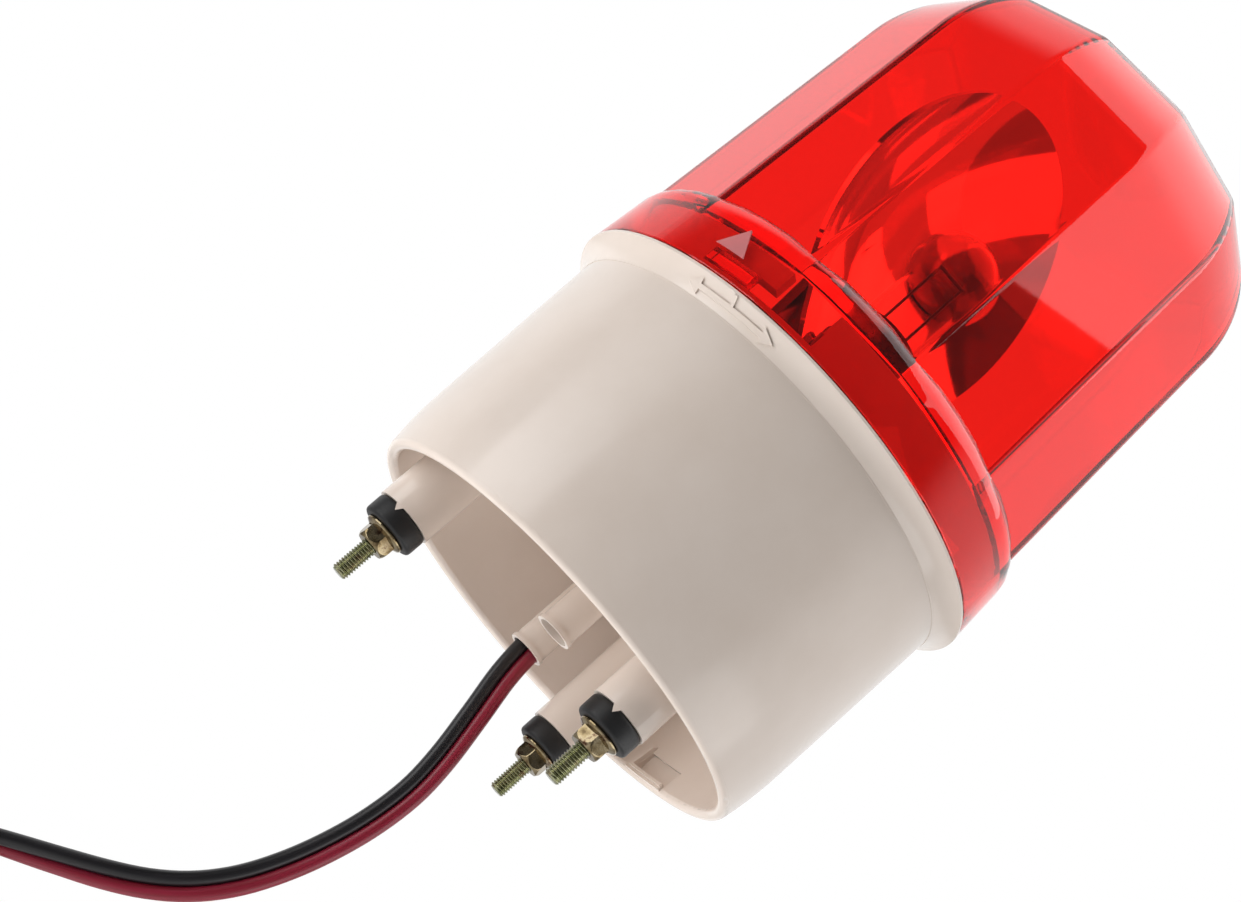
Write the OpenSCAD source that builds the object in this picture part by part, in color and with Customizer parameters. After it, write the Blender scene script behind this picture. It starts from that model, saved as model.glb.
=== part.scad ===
// Rotating warning light with a faceted lens, three mounting studs and a twin lead.
// Millimetres, +Z up along the lamp axis. z = 0 is the plane of the flange nuts' outer faces.

/* [Base housing] */
// Outer radius of the band, which all other radii of the shell follow
band_r = 50; // [47:0.5:54]
// Height of the band's top face above the rim
band_top_z = 54.4; // [52:0.2:58]
// How far the band stands out over the body
band_over = 3.4; // [3:0.1:3.8]
// Draft of the body, from the band down to its foot curve
body_draft = 0.5; // [0.2:0.1:0.8]
// Radius of the curve that draws the foot in
foot_curve_r = 75; // [60:1:120]
// Height of the foot curve above the rim
foot_curve_h = 14; // [10:0.5:16]
// Wall of the body
body_wall = 2.4; // [2:0.1:2.8]
// Height of the flare that carries the band out, with the band's edge
flare_h = 4.5; // [4.2:0.1:5.5]
// Radius of the flare's hollow
flare_r = 7; // [6:0.1:10]
// Height of the band's edge
lip_h = 0.5; // [0.3:0.1:0.8]
// Depth of the recess under the base
recess_h = 24; // [22:0.5:25]
// Thickness of the floor over the recess
floor_t = 2.4; // [2:0.1:3]

/* [Spigot and bayonet] */
// How far the spigot that the lens slips over stands back from the band's edge
spigot_in = 3.3; // [3.2:0.05:3.4]
// Wall of the spigot
spigot_wall = 2.5; // [2:0.1:3]
// Height of the spigot above the band
spigot_h = 10; // [8:0.1:10.2]
// Angle of the middle of the first lug
lug_angle = 233.5; // [220:0.5:250]
// Angular width of a lug
lug_width = 12; // [8:0.5:14]
// Height of a lug
lug_h = 2.6; // [2:0.1:2.8]
// Height of a lug's underside above the band
lug_z = 2.6; // [2.4:0.1:3]
// Turn that frees the lens
twist_turn = 18; // [16:1:24]
// Clearance of a lug in its slot, above and below
lug_gap = 0.3; // [0.2:0.05:0.5]
// Angular clearance of a lug at the ends of its slot
lug_side = 1; // [0.6:0.1:1.5]

/* [Turn arrow] */
// Height of the relief
arrow_raise = 0.35; // [0.2:0.05:0.6]
// Angle of the arrow's middle
arrow_angle = 241; // [236:0.5:250]
// Length of the shaft between the heads
arrow_len = 15; // [10:0.5:18]
// Width of the shaft
arrow_shaft = 0.8; // [0.5:0.1:1.2]
// Height of the shaft below the band's top face
arrow_drop = 2.6; // [2:0.1:2.8]
// Length of a head
arrow_head = 2.7; // [1.5:0.1:3]
// Width of a head
arrow_head_w = 2.4; // [1.6:0.1:2.8]

/* [Mounting bosses] */
// Diameter of the stud circle
stud_pcd = 66.5; // [64:0.5:68]
// Angle of the first boss
stud_angle = 60; // [50:1:70]
// Outer diameter of a boss
boss_d = 12; // [11.6:0.1:13]
// How far a boss stands below the rim
boss_drop = 6.2; // [5:0.1:7]
// Height of the pointed index tooth on a boss's end
tooth_h = 1.3; // [0.8:0.1:1.6]
// Width of the index tooth
tooth_w = 1.8; // [1.2:0.1:2.4]
// Angle of one index tooth from the boss's outward line
tooth_ahead = 71; // [60:1:80]
// Angle of the other index tooth, on the other side
tooth_behind = 49; // [40:1:60]

/* [Wire tubes] */
// Outer diameter of a wire tube
tube_d = 7.3; // [7.1:0.1:7.6]
// Bore of a wire tube
tube_bore = 6.4; // [6.2:0.1:6.5]
// Diameter of the bead round a mouth
tube_bead_d = 7.9; // [7.7:0.1:8.4]
// Height of the mouths above the rim
tube_mouth_z = 0.7; // [0.3:0.1:2]
// Distance of the lead's tube in from the band's edge
tube_in = 19; // [18:0.5:21]
// Sideways place of the lead's tube
tube_x = 0.5; // [0:0.1:1]

/* [Side knock-out] */
// Angle of the knock-out on the inner wall
knock_angle = 37; // [34:0.5:38]
// Width of the thinned panel
knock_w = 9.5; // [8:0.1:10]
// Height of the thinned panel
knock_h = 4.3; // [4:0.1:5]
// Height of the panel's foot above the rim
knock_z = 1.8; // [1.7:0.1:2.2]
// Depth of the thinned panel
knock_depth = 0.8; // [0.5:0.1:1.2]
// Width of one step of the ledge beside the panel
knock_rib = 0.65; // [0.5:0.05:0.7]
// Height of one step of the ledge
knock_step = 0.5; // [0.3:0.1:0.7]

/* [Lens] */
// How far the collar's foot stands back from the band's edge
collar_in = 0.1; // [0.1:0.05:0.3]
// Draft of the collar, from its foot to its rounded shoulder
collar_draft = 0.7; // [0.4:0.1:0.9]
// Wall of the collar at its foot
collar_wall = 2.6; // [2.4:0.05:2.7]
// Gap between band and lens
lens_gap = 0.3; // [0.2:0.05:0.5]
// Height of the collar above the band, up to its rounded shoulder
collar_h = 11.4; // [10.4:0.1:12]
// Rounding of the collar's shoulder
collar_round_r = 4.9; // [4:0.1:5.2]
// How far a corner of the faceted dome stands back from the collar's foot
dome_in = 1.4; // [1.2:0.05:1.7]
// Draft of a facet
dome_draft = 2.3; // [1.8:0.1:2.8]
// Height of the flat top above the band
dome_h = 89.6; // [84:0.2:96]
// Height of the dome's bent shoulder
dome_bend_h = 20; // [18:0.5:22]
// Bend radius at the shoulder of the dome
dome_bend_r = 31; // [29:0.5:34]
// Wall of the lens
lens_wall = 2.2; // [1.8:0.1:2.4]
// Angle of a facet corner
facet_angle = 5.1; // [0:0.1:29.9]
// Radial thickness of a lug's root in the lens wall
lug_root = 0.3; // [0.2:0.05:0.6]
// How far a lug reaches in past the spigot's outside
lug_reach = 1.5; // [1:0.1:1.8]

/* [Lens mark] */
// Height of the mark's relief
mark_raise = 0.3; // [0.2:0.05:0.4]
// Angle of the mark's middle
mark_angle = 231.5; // [220:0.5:250]
// Width of the mark at its foot
mark_w = 7; // [5:0.1:8]
// Height of the mark
mark_h = 5.4; // [4:0.1:5.6]
// Height of the mark's foot above the band
mark_z = 5.4; // [4:0.1:5.6]

/* [Gasket] */
// How far the inside of the gasket stands back from the band's edge
gasket_in = 2.5; // [2.4:0.1:2.6]
// Width of the gasket
gasket_w = 1; // [0.8:0.1:1.2]
// Depth of the gasket's groove
gasket_h = 0.7; // [0.5:0.1:0.8]

/* [Studs, grommets and nuts] */
// Diameter of the free thread
stud_d = 3.5; // [3.3:0.05:3.6]
// Length of the free thread past the nut
stud_free = 7.4; // [6:0.1:9]
// Diameter of the stud inside the nut
stud_root_d = 3; // [2.8:0.05:3.1]
// Diameter of the stud's shank
stud_shank_d = 4; // [3.9:0.05:4.2]
// Diameter of the stud's head
stud_head_d = 6.8; // [6.4:0.1:7.2]
// Height of the stud's head
stud_head_h = 2.4; // [2:0.1:2.8]
// Diameter of the washer under the head
washer_d = 9; // [8.6:0.1:10]
// Thickness of the washer
washer_t = 0.8; // [0.6:0.1:1]
// Diameter of a grommet
grommet_d = 11.4; // [11:0.1:11.6]
// Height of a grommet below its boss
grommet_h = 4.2; // [3.6:0.1:5]
// Diameter of the grommet's neck inside the boss
grommet_neck_d = 8; // [7.6:0.1:8.6]
// Length of that neck
grommet_neck_h = 5; // [4:0.1:6]
// Diameter of the nut's flange
flange_d = 8.6; // [8.2:0.1:9]
// Thickness of the nut's flange
flange_t = 1; // [0.8:0.1:1.2]
// Width of the nut across its flats
nut_af = 6; // [5.8:0.1:6.2]
// Height of the nut
nut_h = 3.9; // [3.5:0.1:4.4]

/* [Chassis] */
// Gap between the chassis plate and the spigot
plate_gap = 1; // [0.8:0.1:1.4]
// Thickness of the chassis plate
plate_t = 1.2; // [1:0.1:1.5]
// Depth of the plate's underside below the band's top face
plate_drop = 4.4; // [4.2:0.1:5]
// Distance of the posts that carry the plate in from its edge
post_in = 5.2; // [4.8:0.1:5.6]
// Diameter of a post
post_d = 7; // [6.6:0.1:7.4]
// Diameter of a plate screw
plate_screw_d = 2.9; // [2.6:0.1:3.1]
// Diameter of a plate screw's head
plate_head_d = 5.6; // [5.2:0.1:6]
// Height of a plate screw's head
plate_head_h = 2; // [1.6:0.1:2.2]
// Length of a plate screw under its head
plate_screw_len = 10; // [8:0.5:12]
// Radius of the wire hole in the middle of the plate
wire_hole_r = 4; // [3.5:0.1:4.5]

/* [Lamp socket and bulb] */
// Outer radius of the socket, the bearing of the turntable
socket_r = 9; // [8.9:0.05:9.2]
// Bore of the socket
socket_bore_r = 7.8; // [7.7:0.05:7.9]
// Height of the socket's top above the plate's underside
socket_h = 28; // [26:0.5:30]
// Radius of the socket's flange
socket_flange_r = 14; // [13:0.2:15]
// Thickness of the socket's flange
socket_flange_t = 1.2; // [1:0.1:1.4]
// Height of the contact board above the plate's underside
contact_h = 10; // [9:0.5:12]
// Height of the contact under the bulb's cap
contact_stand = 4; // [3:0.5:5]
// Radius of the bulb's cap
bulb_cap_r = 7.4; // [7.3:0.05:7.5]
// Radius of the tapered tip of the cap
bulb_tip_r = 4.5; // [4:0.1:5]
// Height of the bulb's cap
bulb_cap_h = 22; // [21:0.5:23]
// Height of the cap's bayonet pins above its foot
bulb_pin_z = 10; // [9.5:0.1:10.5]
// Radius of the bulb's globe
bulb_r = 9.2; // [8.8:0.1:9.4]
// How far the globe's centre stands below the dish's axis
bulb_drop = 2; // [0:0.5:4]
// Wall of the bulb
bulb_wall = 0.8; // [0.6:0.1:1]
// Length of the filament
filament_w = 6.6; // [5:0.1:8]

/* [Drive] */
// Gear module
gear_m = 0.7; // [0.69:0.01:0.71]
// Teeth on the turntable
gear_teeth = 64; // [64:1:64]
// Teeth on the motor's pinion
pinion_teeth = 16; // [16:1:16]
// Thinning of each tooth flank for backlash
gear_backlash = 0.09; // [0.06:0.01:0.12]
// Face width of the turntable gear
gear_w = 4; // [3.5:0.1:4.2]
// Radius of the turntable's hub
hub_r = 12; // [11.5:0.1:12.4]
// Height of the turntable's hub
hub_h = 6.2; // [5.8:0.1:6.2]
// Radial clearance of the hub on the socket
hub_clear = 0.05; // [0.02:0.01:0.09]
// Axial clearance of the turntable
turn_gap = 0.4; // [0.35:0.05:0.5]
// Radius of the motor can
motor_r = 11; // [10.5:0.1:11.4]
// Room between the motor's cap and the floor of the base
motor_room = 3.6; // [3.4:0.1:6]
// Thickness of the motor's cap
motor_cap_t = 2; // [1.5:0.1:2.5]
// Radius of the motor's neck in the plate
motor_neck_r = 3.4; // [3:0.1:3.8]
// Distance of a motor screw from the motor's shaft
motor_screw_y = 8; // [7.5:0.1:8.4]
// Radius of a small screw
small_screw_r = 1.2; // [1:0.05:1.3]
// Radius of the motor's shaft
shaft_r = 1; // [0.9:0.05:1.2]
// Radial clearance of the shaft in the motor's bearing
shaft_clear = 0.05; // [0.02:0.01:0.09]

/* [Reflector] */
// Direction the reflector faces at rest
reflector_angle = 315; // [270:1:360]
// Focal length of the dish
dish_focal = 19.7; // [19:0.1:20.4]
// Radius of the dish's rim
dish_r = 33.5; // [31:0.1:34]
// Room between the dish's rim and the inside of the dome's top
dish_room = 2.3; // [1.5:0.1:4]
// Wall of the dish
dish_wall = 1.2; // [1:0.1:1.6]
// Radius of the opening round the bulb
dish_notch_r = 10.6; // [10.4:0.1:11.5]
// Width of the reflector's stem
stem_w = 16; // [14:0.2:18]
// Thickness of the reflector's stem
stem_t = 2.4; // [2:0.1:2.8]
// Distance of the stem behind the axis
stem_back = 17; // [16.6:0.1:17.2]
// Half depth of the stem's foot
stem_foot = 3; // [2.6:0.1:3]
// Distance of a foot screw from the middle of the stem
stem_screw_y = 5; // [4:0.1:5.5]

/* [Twin lead] */
// Width of the flat twin lead
lead_w = 5.8; // [5.4:0.1:6]
// Thickness of the flat twin lead
lead_t = 3; // [2.6:0.1:3.2]
// Mean radius of the coil
coil_r = 30; // [29:0.5:31]
// Turns in the coil
coil_turns = 2; // [2:1:2]
// Width of the tie
tie_w = 4; // [3:0.5:6]
// Thickness of the tie
tie_t = 0.8; // [0.6:0.1:1.2]
// Height of the connector block over the end of the lead
block_h = 12; // [11:0.5:13]
// Radius of the block's screw
block_screw_r = 1.3; // [1.1:0.05:1.5]

/* [Hidden] */
$fn = 96;
rim_z = nut_h + grommet_h + boss_drop;
floor_z = recess_h + floor_t;
body_top_r = band_r - band_over;
body_r = body_top_r - body_draft;
wall_r = body_r - body_wall;
knock_wall_r = body_r - foot_curve_r
  + sqrt(pow(foot_curve_r - body_wall, 2) - pow(foot_curve_h - knock_z - knock_h / 2, 2));
flare_z = band_top_z - flare_h;
spigot_r = band_r - spigot_in;
spigot_bore_r = spigot_r - spigot_wall;
collar_r = band_r - collar_in;
collar_top_r = collar_r - collar_draft;
collar_bore_r = collar_r - collar_wall;
collar_z = band_top_z + collar_h;
dome_r = collar_r - dome_in;
tube_y = band_r - tube_in;
dome_top_z = band_top_z + dome_h;
dome_bend_z = dome_top_z - dome_bend_h;
gasket_r = band_r - gasket_in;
plate_r = spigot_bore_r - plate_gap;
plate_z = band_top_z - plate_drop;
plate_top = plate_z + plate_t;
post_circle_r = plate_r - post_in;
flange_top = plate_top + socket_flange_t;
washer_thrust = 1;
gear_z = flange_top + washer_thrust + turn_gap;
ring_z = gear_z + hub_h + turn_gap;
gear_pitch_r = gear_m * gear_teeth / 2;
pinion_pitch_r = gear_m * pinion_teeth / 2;
centre_dist = gear_pitch_r + pinion_pitch_r;
motor_angle = 270;
gear_root_r = gear_pitch_r - 1.25 * gear_m;
dome_cos = cos(15);
dome_bend_steps = 8;
dome_apothem = dome_r * dome_cos;
dish_z = dome_top_z - lens_wall - dish_room - dish_r;
bulb_z = dish_z - bulb_drop;
stem_x = -stem_back;
stem_top_z = dish_z - sqrt(4 * dish_focal * (dish_focal + stem_x + stem_t / 2 + 0.4));
motor_len = plate_z - motor_cap_t - floor_z - motor_room;
lead_top_z = plate_z - block_h;
socket_top_z = plate_z + socket_h;
contact_z = plate_z + contact_h;
cap_bottom_z = contact_z + contact_stand;
cap_top_z = cap_bottom_z + bulb_cap_h;
// Route of the lead below its straight run, as sideways place, height above the rim and twist
lead_route = [
  [0.5, lead_top_z, 0],
  [0.5, 30, 0],
  [0.5, 22, 0],
  [0.5, 14, 0],
  [0.5, 7, 0],
  [0.6, 1, 0],
  [1.4, -6, 0],
  [3.4, -15, 0],
  [5.4, -25, 0],
  [6.2, -34, 0],
  [5.3, -44, 0],
  [3, -54, 0],
  [0, -62.5, 0],
  [-3.5, -69.5, 0],
  [-8, -75.7, 5],
  [-13.5, -81, 12],
  [-20, -85.7, 22],
  [-27.5, -90.3, 35],
  [-35.5, -95, 50],
  [-44, -100, 66],
  [-53, -105.5, 80],
  [-62.5, -111.5, 90]
];
lead_end = lead_route[len(lead_route) - 1];
coil_in_angle = 121.5;
coil_x = lead_end[0] - coil_r * cos(coil_in_angle);
coil_y = tube_y + lead_w / 2;
coil_z = lead_end[1] - coil_r * sin(coil_in_angle);
lead_sides = 12;
tie_angle = 250;

// A flat ring
module ring(r_out, r_in, h) {
  difference() {
    cylinder(r = r_out, h = h);
    translate([0, 0, -1]) cylinder(r = r_in, h = h + 2);
  }
}

// A sector of a flat ring, centred on an angle
module sector(r_in, r_out, z0, z1, a0, a1) {
  rotate([0, 0, a0]) rotate_extrude(angle = a1 - a0) translate([r_in, z0]) square([r_out - r_in, z1 - z0]);
}

// Children at the three mounting places
module at_studs() {
  for (k = [0:2])
    rotate([0, 0, stud_angle + 120 * k]) translate([stud_pcd / 2, 0, 0]) children();
}

// Circle of the flare's hollow, through the body's top and the foot of the band's edge
module flare_circle(grow) {
  rise = flare_h - lip_h;
  chord = sqrt(band_over * band_over + rise * rise);
  reach = sqrt(flare_r * flare_r - chord * chord / 4);
  mid = [body_top_r + band_over / 2, flare_z + rise / 2];
  translate(mid + reach / chord * [rise, -band_over]) circle(r = flare_r + grow);
}

// Half section of the base's shell
module base_section() {
  foot_x = body_r - foot_curve_r;
  rim_mid = foot_x + sqrt(pow(foot_curve_r - body_wall / 2, 2) - pow(foot_curve_h - body_wall / 2, 2));
  intersection() {
    translate([foot_x, foot_curve_h]) difference() {
      circle(r = foot_curve_r, $fn = 360);
      circle(r = foot_curve_r - body_wall, $fn = 360);
    }
    translate([band_r / 2, body_wall / 2]) square([band_r / 2, foot_curve_h - body_wall / 2]);
  }
  translate([rim_mid, body_wall / 2]) circle(r = body_wall / 2);
  polygon([[wall_r, foot_curve_h], [body_r, foot_curve_h], [body_top_r, flare_z],
    [body_top_r - body_wall / 4, flare_z + 1], [body_top_r - body_wall, flare_z + 1]]);
  difference() {
    translate([spigot_bore_r, flare_z]) square([band_r - spigot_bore_r, flare_h]);
    flare_circle(0);
  }
  translate([spigot_bore_r, flare_z]) square([spigot_wall, flare_h + spigot_h]);
  translate([0, recess_h]) square([wall_r + body_wall / 2, floor_t]);
}

// Outline of the double-headed arrow and its tick, about the middle of the shaft
module arrow_outline() {
  square([arrow_len + 1, arrow_shaft], center = true);
  translate([-arrow_shaft / 2, 0]) square([arrow_shaft, arrow_drop - lip_h - 0.2]);
  for (s = [-1, 1]) translate([s * arrow_len / 2, 0])
    polygon([[0, -arrow_head_w / 2], [s * arrow_head, 0], [0, arrow_head_w / 2]]);
}

// The arrow raised on the flare: its outline cut out of a thin skin
module turn_arrow() {
  intersection() {
    rotate([0, 0, arrow_angle]) rotate([90, 0, 90]) translate([0, band_top_z - arrow_drop, body_top_r / 2])
      linear_extrude(band_r) arrow_outline();
    rotate([0, 0, arrow_angle - 20]) rotate_extrude(angle = 40) intersection() {
      difference() {
        flare_circle(0.3);
        flare_circle(-arrow_raise);
      }
      translate([body_top_r, flare_z]) square([band_over, flare_h]);
    }
  }
}

// Pointed index tooth beside the grommet, on a boss's end
module index_tooth() {
  translate([grommet_d / 2 + 0.02, 0, 0]) rotate([90, 0, 90]) linear_extrude((boss_d - grommet_d) / 2 - 0.12)
    polygon([[-tooth_w / 2, 0.5], [-tooth_w / 2, 0], [0, -tooth_h], [tooth_w / 2, 0], [tooth_w / 2, 0.5]]);
}

module base_housing() {
  color("#e6ded4") translate([0, 0, rim_z]) {
    difference() {
      union() {
        rotate_extrude($fn = 180) base_section();
        at_studs() translate([0, 0, -boss_drop]) cylinder(d = boss_d, h = recess_h + boss_drop + 1);
        for (a = [tooth_ahead, -tooth_behind]) at_studs()
          translate([0, 0, -boss_drop]) rotate([0, 0, a]) index_tooth();
        for (p = [[0, 0], [tube_x, tube_y]]) translate([p[0], p[1], tube_mouth_z]) {
          cylinder(d = tube_d, h = recess_h - tube_mouth_z + 1);
          cylinder(d = tube_bead_d, h = 0.8);
        }
        for (k = [0:2]) rotate([0, 0, 120 * k]) translate([post_circle_r, 0, recess_h + 1])
          cylinder(d = post_d, h = plate_z - recess_h - 1);
        turn_arrow();
        knock_frame();
      }
      at_studs() {
        translate([0, 0, -boss_drop - 1]) cylinder(d = stud_shank_d + 0.2, h = boss_drop + floor_z + 2);
        translate([0, 0, -boss_drop - 0.01]) cylinder(d = grommet_neck_d, h = grommet_neck_h + 0.01);
      }
      for (p = [[0, 0], [tube_x, tube_y]]) translate([p[0], p[1], -1])
        cylinder(d = tube_bore, h = floor_z + 2);
      for (k = [0:2]) rotate([0, 0, 120 * k]) translate([post_circle_r, 0, plate_z - plate_screw_len])
        cylinder(d = plate_screw_d, h = plate_screw_len + 1);
      translate([0, 0, band_top_z - gasket_h]) ring(gasket_r + gasket_w, gasket_r, gasket_h + 1);
      for (k = [0:2]) bayonet_slot(lug_angle + 120 * k);
      knock_panel();
    }
  }
}

// An L-shaped slot in the spigot, entry at the top and a run to the locked place
module bayonet_slot(a) {
  lo = a - lug_width / 2 - lug_side;
  hi = a + twist_turn + lug_width / 2 + lug_side;
  z0 = band_top_z + lug_z - lug_gap;
  z1 = band_top_z + lug_z + lug_h + lug_gap;
  sector(spigot_bore_r - 1, spigot_r + 0.4, z0, z1, lo, hi);
  sector(spigot_bore_r - 1, spigot_r + 0.4, z1 - 1, band_top_z + spigot_h + 1,
    a + twist_turn - lug_width / 2 - lug_side, hi - 0.4);
}

// Ledge of two steps along the foot and one side of the knock-out, on the inner wall near the rim
module knock_frame() {
  for (i = [1, 2]) let (b = (3 - i) * knock_rib) intersection() {
    rotate([0, 0, knock_angle]) translate([wall_r - 6, -knock_w / 2, knock_z - b]) difference() {
      cube([7, knock_w + b, knock_h + 2 * b]);
      translate([-1, -1, b]) cube([9, knock_w + 1, knock_h + 9]);
    }
    rotate([0, 0, knock_angle - 20]) rotate_extrude(angle = 40) intersection() {
      translate([body_r - foot_curve_r, foot_curve_h]) difference() {
        circle(r = foot_curve_r - body_wall + 0.8, $fn = 360);
        circle(r = foot_curve_r - body_wall - i * knock_step, $fn = 360);
      }
      translate([band_r / 2, 0.2]) square([band_r / 2, knock_h + 6]);
    }
  }
}

// Thinned panel of the knock-out
module knock_panel() {
  rotate([0, 0, knock_angle]) translate([wall_r - 6, -knock_w / 2, knock_z + 0.05])
    cube([knock_wall_r + knock_depth - wall_r + 6, knock_w - 0.05, knock_h - 0.05]);
}

// Outline of the dome across two opposite facets: drafted sides, bent shoulders and a flat top
module dome_arch(inset, z_low) {
  a_bend = dome_apothem - tan(dome_draft) * (dome_bend_z - collar_z) - inset;
  a_low = a_bend + tan(dome_draft) * (dome_bend_z - z_low);
  r = dome_bend_r - inset;
  cx = a_bend - r * cos(dome_draft);
  cz = dome_bend_z - r * sin(dome_draft);
  t_end = asin((dome_top_z - inset - cz) / r);
  bend = [for (i = [0:dome_bend_steps]) let (t = dome_draft + (t_end - dome_draft) * i / dome_bend_steps)
    [cx + r * cos(t), cz + r * sin(t)]];
  right = concat([[a_low, z_low]], bend);
  left = [for (i = [len(right) - 1:-1:0]) [-right[i][0], right[i][1]]];
  polygon(concat(right, left));
}

// One arch across the dome and the one square to it
module arch_pair(k, inset, z_low) {
  intersection() {
    for_arch(k, inset, z_low);
    for_arch(k + 3, inset, z_low);
  }
}

module for_arch(k, inset, z_low) {
  rotate([0, 0, facet_angle + 15 + 30 * k]) rotate([90, 0, 0])
    translate([0, 0, -band_r]) linear_extrude(2 * band_r) dome_arch(inset, z_low);
}

// Twelve-sided dome with bent shoulders: six crossed arches
module dome_vault(inset, z_low) {
  intersection() {
    arch_pair(0, inset, z_low);
    arch_pair(1, inset, z_low);
    arch_pair(2, inset, z_low);
  }
}

// Half section of the collar
module collar_section() {
  foot_z = band_top_z + lens_gap;
  polygon([[0, foot_z], [collar_r, foot_z], [collar_top_r, collar_z], [0, collar_z]]);
  translate([collar_top_r - collar_round_r, collar_z]) circle(r = collar_round_r);
  translate([0, collar_z - 1]) square([collar_top_r - collar_round_r, collar_round_r + 1]);
}

// Raised triangle on the collar, over the first lug
module lens_mark() {
  z = band_top_z + mark_z;
  mid_r = collar_r - collar_draft * (mark_z + mark_h / 2 - lens_gap) / (collar_h - lens_gap);
  intersection() {
    rotate([0, 0, mark_angle]) rotate([90, 0, 90]) translate([0, z, collar_bore_r - 1])
      linear_extrude(collar_wall + 2) polygon([[-mark_w / 2, 0], [mark_w / 2, 0], [0, mark_h]]);
    sector(collar_bore_r + collar_wall / 2, mid_r + mark_raise, z - 1, z + mark_h + 1,
      mark_angle - 8, mark_angle + 8);
  }
}

module lens() {
  foot_z = band_top_z + lens_gap;
  color("#d81a14", 0.6) translate([0, 0, rim_z]) {
    difference() {
      union() {
        rotate_extrude($fn = 180) collar_section();
        dome_vault(0, collar_z - 2);
        lens_mark();
      }
      translate([0, 0, foot_z - 1]) cylinder(r = collar_bore_r, h = collar_z - foot_z + 0.4, $fn = 180);
      dome_vault(lens_wall, collar_z - 1);
    }
    for (k = [0:2])
      sector(spigot_r - lug_reach, collar_bore_r + lug_root, band_top_z + lug_z, band_top_z + lug_z + lug_h,
        lug_angle + 120 * k - lug_width / 2, lug_angle + 120 * k + lug_width / 2);
  }
}

module lens_gasket() {
  color("#2b2b2d") translate([0, 0, rim_z + band_top_z - gasket_h])
    ring(gasket_r + gasket_w, gasket_r, gasket_h);
}

module mounting_studs() {
  color("#b9ac63") at_studs() {
    translate([0, 0, -stud_free]) cylinder(d1 = stud_d - 0.8, d2 = stud_d, h = 0.5);
    translate([0, 0, 0.5 - stud_free]) cylinder(d = stud_d, h = stud_free - 0.5);
    cylinder(d = stud_root_d, h = nut_h);
    translate([0, 0, nut_h]) cylinder(d = stud_shank_d, h = rim_z + floor_z + washer_t - nut_h);
    translate([0, 0, rim_z + floor_z + washer_t]) cylinder(d = stud_head_d, h = stud_head_h);
  }
}

module stud_washers() {
  color("#b9ac63") at_studs() translate([0, 0, rim_z + floor_z])
    ring(washer_d / 2, stud_shank_d / 2, washer_t);
}

module grommets() {
  color("#26262a") at_studs() translate([0, 0, nut_h]) difference() {
    union() {
      cylinder(d = grommet_d, h = grommet_h);
      cylinder(d = grommet_neck_d, h = grommet_h + grommet_neck_h);
    }
    translate([0, 0, -1]) cylinder(d = stud_shank_d, h = grommet_h + grommet_neck_h + 2);
  }
}

module flange_nuts() {
  color("#b9ac63") at_studs() difference() {
    union() {
      translate([0, 0, nut_h - flange_t]) cylinder(d = flange_d, h = flange_t);
      rotate([0, 0, 15]) cylinder(d = nut_af / cos(30), h = nut_h - flange_t, $fn = 6);
    }
    translate([0, 0, -1]) cylinder(d = stud_root_d, h = nut_h + 2);
  }
}

module chassis_plate() {
  color("#aeb2b6") translate([0, 0, rim_z + plate_z]) difference() {
    cylinder(r = plate_r, h = plate_t, $fn = 120);
    translate([0, 0, -1]) cylinder(r = wire_hole_r, h = plate_t + 2);
    for (k = [0:2]) rotate([0, 0, 120 * k]) translate([post_circle_r, 0, -1])
      cylinder(d = plate_screw_d, h = plate_t + 2);
    rotate([0, 0, motor_angle]) translate([centre_dist, 0, -1]) {
      cylinder(r = motor_neck_r, h = plate_t + 2);
      for (s = [-1, 1]) translate([0, motor_screw_y * s, 0]) cylinder(r = small_screw_r, h = plate_t + 2);
    }
    translate([tube_x, tube_y, -1]) cylinder(r = block_screw_r, h = plate_t + 2);
  }
}

module chassis_screws() {
  color("#c9cccf") for (k = [0:2]) rotate([0, 0, 120 * k])
    translate([post_circle_r, 0, rim_z + plate_top]) {
      translate([0, 0, -plate_screw_len]) cylinder(d = plate_screw_d, h = plate_screw_len);
      cylinder(d = plate_head_d, h = plate_head_h);
    }
}

module lamp_socket() {
  color("#c7c3b4") translate([0, 0, rim_z]) difference() {
    union() {
      translate([0, 0, plate_top]) cylinder(r = socket_flange_r, h = socket_flange_t);
      translate([0, 0, plate_top]) cylinder(r = socket_r, h = socket_top_z - plate_top, $fn = 120);
    }
    translate([0, 0, plate_top - 1]) cylinder(r = wire_hole_r, h = contact_z - plate_top + 2);
    translate([0, 0, contact_z]) cylinder(r = socket_bore_r, h = socket_top_z - contact_z + 1);
    translate([0, 0, ring_z]) ring(socket_r + 1, socket_r - 0.6, 1);
    translate([-2 * socket_r, -1.2, cap_bottom_z + bulb_pin_z - 1])
      cube([4 * socket_r, 2.4, socket_top_z - cap_bottom_z]);
  }
}

module thrust_washer() {
  color("#efece2") translate([0, 0, rim_z + flange_top]) ring(hub_r, socket_r, washer_thrust);
}

module retaining_ring() {
  color("#9a9da1") translate([0, 0, rim_z + ring_z]) ring(socket_r + 2, socket_r - 0.6, 1);
}

module socket_contact() {
  color("#b87b45") translate([0, 0, rim_z + contact_z]) {
    cylinder(r = socket_bore_r, h = 2);
    cylinder(r = 2, h = cap_bottom_z - contact_z);
  }
}

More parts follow.
